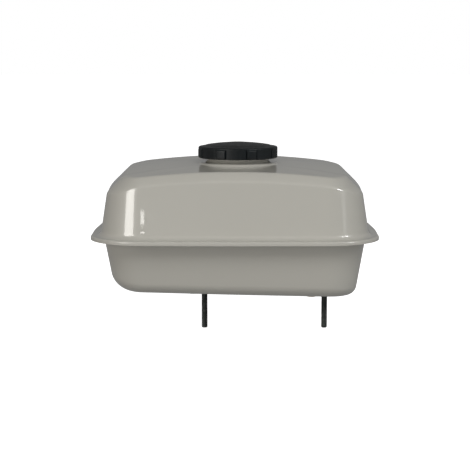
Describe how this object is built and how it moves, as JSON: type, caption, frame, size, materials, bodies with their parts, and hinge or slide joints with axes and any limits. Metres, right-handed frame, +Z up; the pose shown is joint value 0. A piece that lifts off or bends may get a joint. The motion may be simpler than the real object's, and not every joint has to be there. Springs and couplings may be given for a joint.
{
  "type": "engine fuel tank",
  "caption": "Pressed steel fuel tank for a small engine, with a seam flange, a quarter-turn filler cap, a strainer, mounting studs and a hose outlet.",
  "frame": {"origin": "midway between the two mounting studs, on the plane where their brackets seat", "axes": "+X along the tank's length, towards the deep outlet end; +Y to the tank's rear; +Z up, towards the filler cap"},
  "size_m": [0.2864, 0.1924, 0.1886],
  "materials": {
    "tank_paint": "glossy warm light-grey stoving enamel",
    "neck_paint": "the same enamel, thinner over the pressed neck",
    "plated_steel": "zinc plate, pale yellow passivate",
    "stud_steel": "dark zinc-plated threaded rod",
    "spring_steel": "bright drawn spring wire",
    "brass": "turned brass",
    "fibre": "red fibre sealing washer",
    "strainer_plastic": "natural moulded nylon",
    "strainer_gauze": "woven nylon gauze",
    "gasket_rubber": "reddish-brown moulded nitrile",
    "baffle_rubber": "black moulded nitrile",
    "vent_foam": "open-cell foam",
    "cap_plastic": "black moulded nylon with a fine mould texture"
  },
  "bodies": {
    "tank": {"upper_shell": "tank_paint", "lower_pan": "tank_paint", "filler_neck": "neck_paint", "neck_cams": "plated_steel", "strainer_frame": "strainer_plastic", "strainer_mesh": "strainer_gauze", "bracket_left": "tank_paint", "bracket_right": "tank_paint", "stud_left": "stud_steel", "stud_right": "stud_steel", "outlet_bung": "plated_steel", "outlet_washer": "fibre", "outlet_body": "brass", "outlet_spigot": "brass", "gauze_frame": "strainer_plastic", "gauze_mesh": "strainer_gauze"},
    "gasket_carrier": {"pressure_plate": "plated_steel", "cap_gasket": "gasket_rubber", "cap_baffle": "baffle_rubber", "cap_spring": "spring_steel"},
    "rivet": {"cap_rivet": "plated_steel"},
    "cap": {"cap_shell": "cap_plastic", "lock_cup": "plated_steel", "vent_pad": "vent_foam"}
  },
  "joints": [
    {"name": "cap_lift", "type": "slide", "parent": "tank", "child": "gasket_carrier", "axis": [0, 0, 1], "range_m": [0, 0.075]},
    {"name": "cap_draw", "type": "slide", "parent": "gasket_carrier", "child": "rivet", "axis": [0, 0, 1], "range_m": [-0.00091, 0], "deforming": ["cap_spring"]},
    {"name": "cap_turn", "type": "hinge", "parent": "rivet", "child": "cap", "pos_m": [-0.027, 0.012, 0.14356], "axis": [0, 0, 1], "range_deg": [-90, 0]}
  ],
  "couplings": [
    {"joint": "cap_draw", "follows": "cap_turn", "m_per_rad": 0.00057296}
  ]
}
